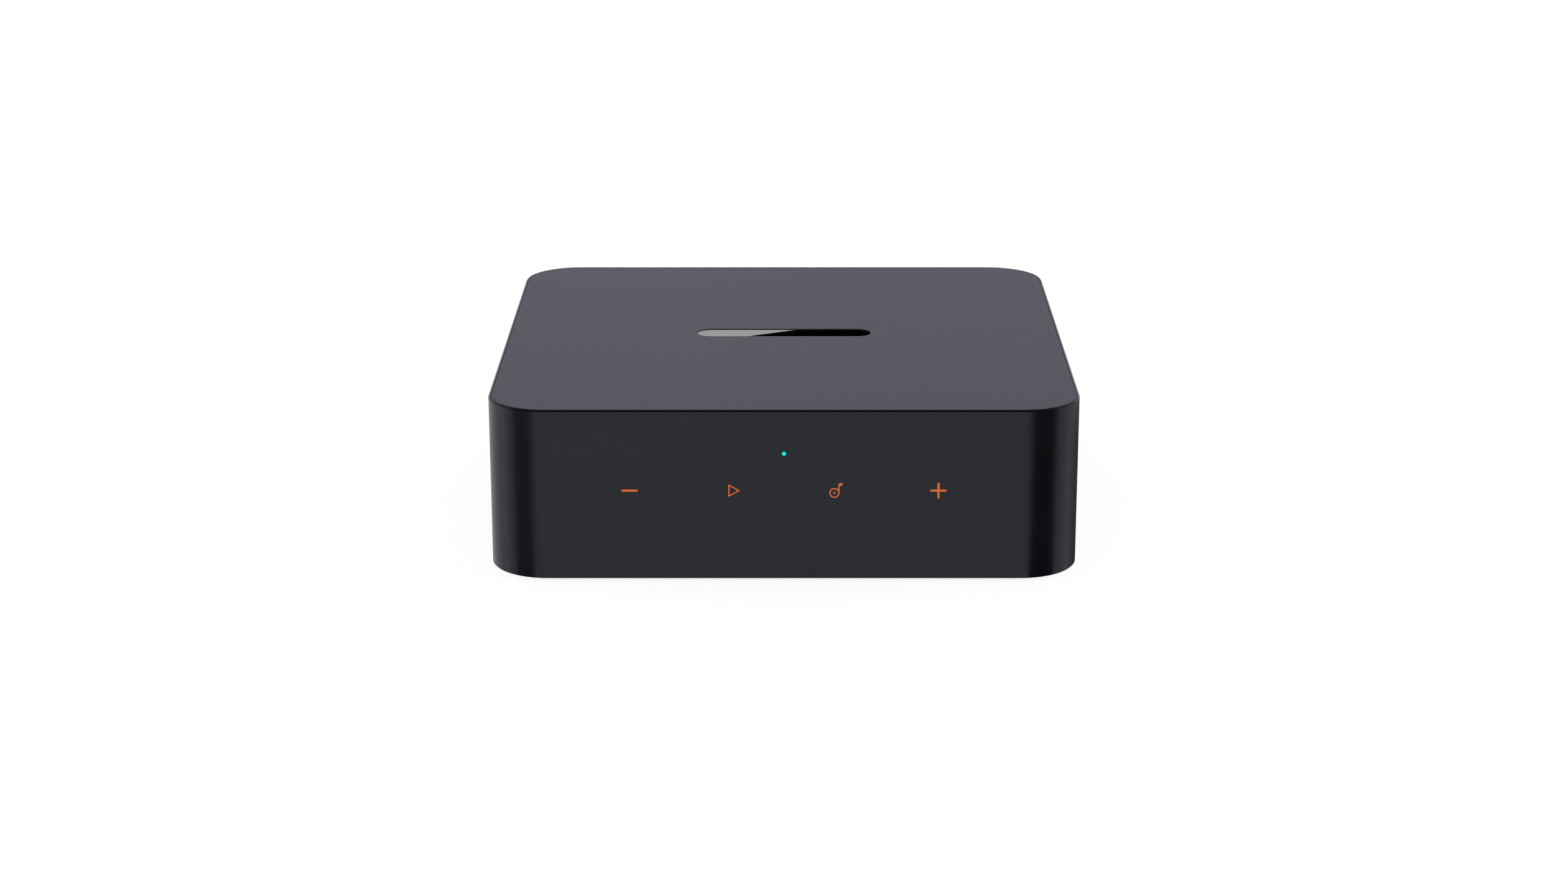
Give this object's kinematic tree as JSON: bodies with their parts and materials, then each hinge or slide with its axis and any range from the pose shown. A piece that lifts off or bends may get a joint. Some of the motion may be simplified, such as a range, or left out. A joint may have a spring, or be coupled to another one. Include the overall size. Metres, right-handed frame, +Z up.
{
  "type": "network music streamer",
  "caption": "Flat square network music streamer with rounded corners, touch controls on the front, and phono, optical, trigger, network and power sockets at the rear.",
  "frame": {"origin": "centre of the foot pad's underside, on the table", "axes": "+Z up, +Y towards the rear sockets, +X to the right seen from the front"},
  "size_m": [0.14, 0.1486, 0.042],
  "materials": {
    "case_black": "satin black moulding",
    "top_satin": "fine satin black",
    "inlay_gloss": "polished black",
    "foot_rubber": "matt silicone",
    "screw_black": "black oxide",
    "steel": "tinned sheet",
    "board_green": "solder mask",
    "jack_black": "black moulding",
    "nickel": "bright nickel",
    "jack_white": "white moulding",
    "jack_red": "red moulding",
    "jack_orange": "orange moulding",
    "contact_gold": "gold flash",
    "shutter_grey": "dark grey moulding",
    "chip_black": "moulding compound",
    "light_guide": "milky light guide",
    "status_cyan": "lit lens",
    "flex_white": "flat cable film",
    "pad_blue": "soft gap filler",
    "sink_black": "black anodised"
  },
  "bodies": {
    "case": {"upper_housing": "case_black", "top_plate": "top_satin", "mirror_inlay": "inlay_gloss", "base_plate": "case_black", "foot_pad": "foot_rubber", "rear_panel": "case_black", "case_screws": "screw_black", "board_screws": "steel", "panel_screws": "screw_black", "main_board": "board_green", "line_in_block": "jack_black", "line_in_sleeves": "nickel", "line_in_white_insulator": "jack_white", "line_in_red_insulator": "jack_red", "line_in_contacts": "contact_gold", "line_out_block": "jack_black", "line_out_sleeves": "nickel", "line_out_white_insulator": "jack_white", "line_out_red_insulator": "jack_red", "line_out_contacts": "contact_gold", "coax_block": "jack_black", "coax_sleeve": "nickel", "coax_insulator": "jack_orange", "coax_contact": "contact_gold", "optical_out_housing": "jack_black", "optical_out_spring": "steel", "optical_out_emitter": "chip_black", "optical_in_housing": "jack_black", "optical_in_spring": "steel", "optical_in_receiver": "chip_black", "trigger_jack_body": "jack_black", "trigger_contacts": "contact_gold", "lan_shield": "steel", "lan_body": "jack_black", "lan_contacts": "contact_gold", "lan_lights": "light_guide", "power_socket_shell": "steel", "power_socket_tongue": "jack_black", "power_socket_contacts": "contact_gold", "touch_board": "board_green", "touch_pads": "contact_gold", "status_light_pipe": "status_cyan", "status_lamp": "light_guide", "flex_connectors": "jack_white", "touch_flex": "flex_white", "module_headers": "jack_black", "module_board": "board_green", "module_chips": "chip_black", "module_shield": "steel", "thermal_pad": "pad_blue", "heat_sink": "sink_black", "antenna_boards": "contact_gold", "antenna_leads": "jack_black", "converter_chips": "chip_black", "filter_capacitors": "steel", "lan_transformer": "chip_black", "power_inductors": "chip_black"},
    "optical_out_flap": {"optical_out_shutter": "shutter_grey"},
    "optical_in_flap": {"optical_in_shutter": "shutter_grey"}
  },
  "joints": [
    {"name": "optical_out_flap_hinge", "type": "hinge", "parent": "case", "child": "optical_out_flap", "pos_m": [0.00362, 0.068, 0.0194], "axis": [-1, 0, 0], "range_deg": [0, 90], "stiffness_Nm_per_rad": 0.0008, "springref_deg": -20.05, "deforming": ["optical_out_spring"]},
    {"name": "optical_in_flap_hinge", "type": "hinge", "parent": "case", "child": "optical_in_flap", "pos_m": [-0.00768, 0.068, 0.0194], "axis": [-1, 0, 0], "range_deg": [0, 90], "stiffness_Nm_per_rad": 0.0008, "springref_deg": -20.05, "deforming": ["optical_in_spring"]}
  ]
}
